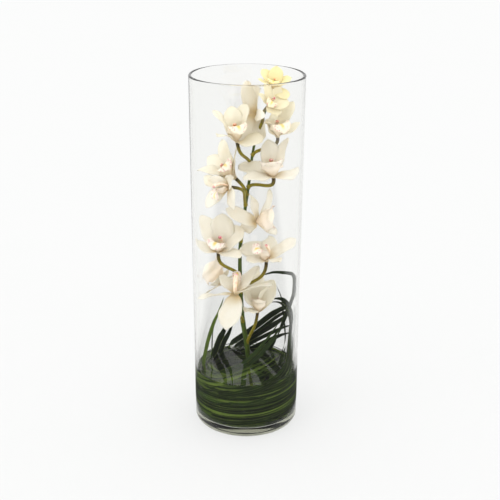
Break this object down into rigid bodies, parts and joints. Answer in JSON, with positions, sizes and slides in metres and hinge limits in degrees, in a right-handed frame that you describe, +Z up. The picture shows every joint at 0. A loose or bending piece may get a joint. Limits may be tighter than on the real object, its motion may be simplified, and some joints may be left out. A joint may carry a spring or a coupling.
{
  "type": "cymbidium orchid in vase",
  "caption": "Cut cymbidium orchid stem with open blooms, standing in shallow water in a tall clear glass cylinder vase lined with coiled lily grass blades.",
  "frame": {"origin": "centre of the vase's foot, on the surface that the vase stands on", "axes": "+Z up along the vase's axis; -Y is the front, which most of the blooms face; +X is to the right of a viewer in front"},
  "size_m": [0.154, 0.154, 0.5045],
  "materials": {
    "clear_glass": "clear, polished, smooth",
    "still_water": "clear still water",
    "orchid_stem": "smooth plant stem, semi-matte",
    "orchid_tepal": "waxy cream petal, slightly translucent",
    "orchid_lip": "waxy cream lip with pink spots",
    "orchid_column": "waxy, pink tip",
    "lily_grass": "smooth leaf, semi-gloss, faint lengthwise veins"
  },
  "bodies": {
    "root": {"glass_vase": "clear_glass", "water": "still_water", "flower_stem": "orchid_stem", "bloom_01_tepals": "orchid_tepal", "bloom_01_lip": "orchid_lip", "bloom_01_column": "orchid_column", "bloom_02_tepals": "orchid_tepal", "bloom_02_lip": "orchid_lip", "bloom_02_column": "orchid_column", "bloom_03_tepals": "orchid_tepal", "bloom_03_lip": "orchid_lip", "bloom_03_column": "orchid_column", "bloom_04_tepals": "orchid_tepal", "bloom_04_lip": "orchid_lip", "bloom_04_column": "orchid_column", "bloom_05_tepals": "orchid_tepal", "bloom_05_lip": "orchid_lip", "bloom_05_column": "orchid_column", "bloom_06_tepals": "orchid_tepal", "bloom_06_lip": "orchid_lip", "bloom_06_column": "orchid_column", "bloom_07_tepals": "orchid_tepal", "bloom_07_lip": "orchid_lip", "bloom_07_column": "orchid_column", "bloom_08_tepals": "orchid_tepal", "bloom_08_lip": "orchid_lip", "bloom_08_column": "orchid_column", "bloom_09_tepals": "orchid_tepal", "bloom_09_lip": "orchid_lip", "bloom_09_column": "orchid_column", "bloom_10_tepals": "orchid_tepal", "bloom_10_lip": "orchid_lip", "bloom_10_column": "orchid_column", "bloom_11_tepals": "orchid_tepal", "bloom_11_lip": "orchid_lip", "bloom_11_column": "orchid_column", "bloom_12_tepals": "orchid_tepal", "bloom_12_lip": "orchid_lip", "bloom_12_column": "orchid_column", "bloom_13_tepals": "orchid_tepal", "bloom_13_lip": "orchid_lip", "bloom_13_column": "orchid_column", "bloom_14_tepals": "orchid_tepal", "bloom_14_lip": "orchid_lip", "bloom_14_column": "orchid_column", "grass_coil_1": "lily_grass", "grass_coil_2": "lily_grass", "grass_coil_3": "lily_grass", "grass_coil_4": "lily_grass", "grass_coil_5": "lily_grass", "grass_coil_6": "lily_grass", "grass_blade_1": "lily_grass", "grass_blade_2": "lily_grass", "grass_blade_3": "lily_grass", "grass_blade_4": "lily_grass", "grass_blade_5": "lily_grass", "grass_blade_6": "lily_grass", "grass_blade_7": "lily_grass", "grass_blade_8": "lily_grass", "grass_blade_9": "lily_grass"}
  },
  "joints": []
}
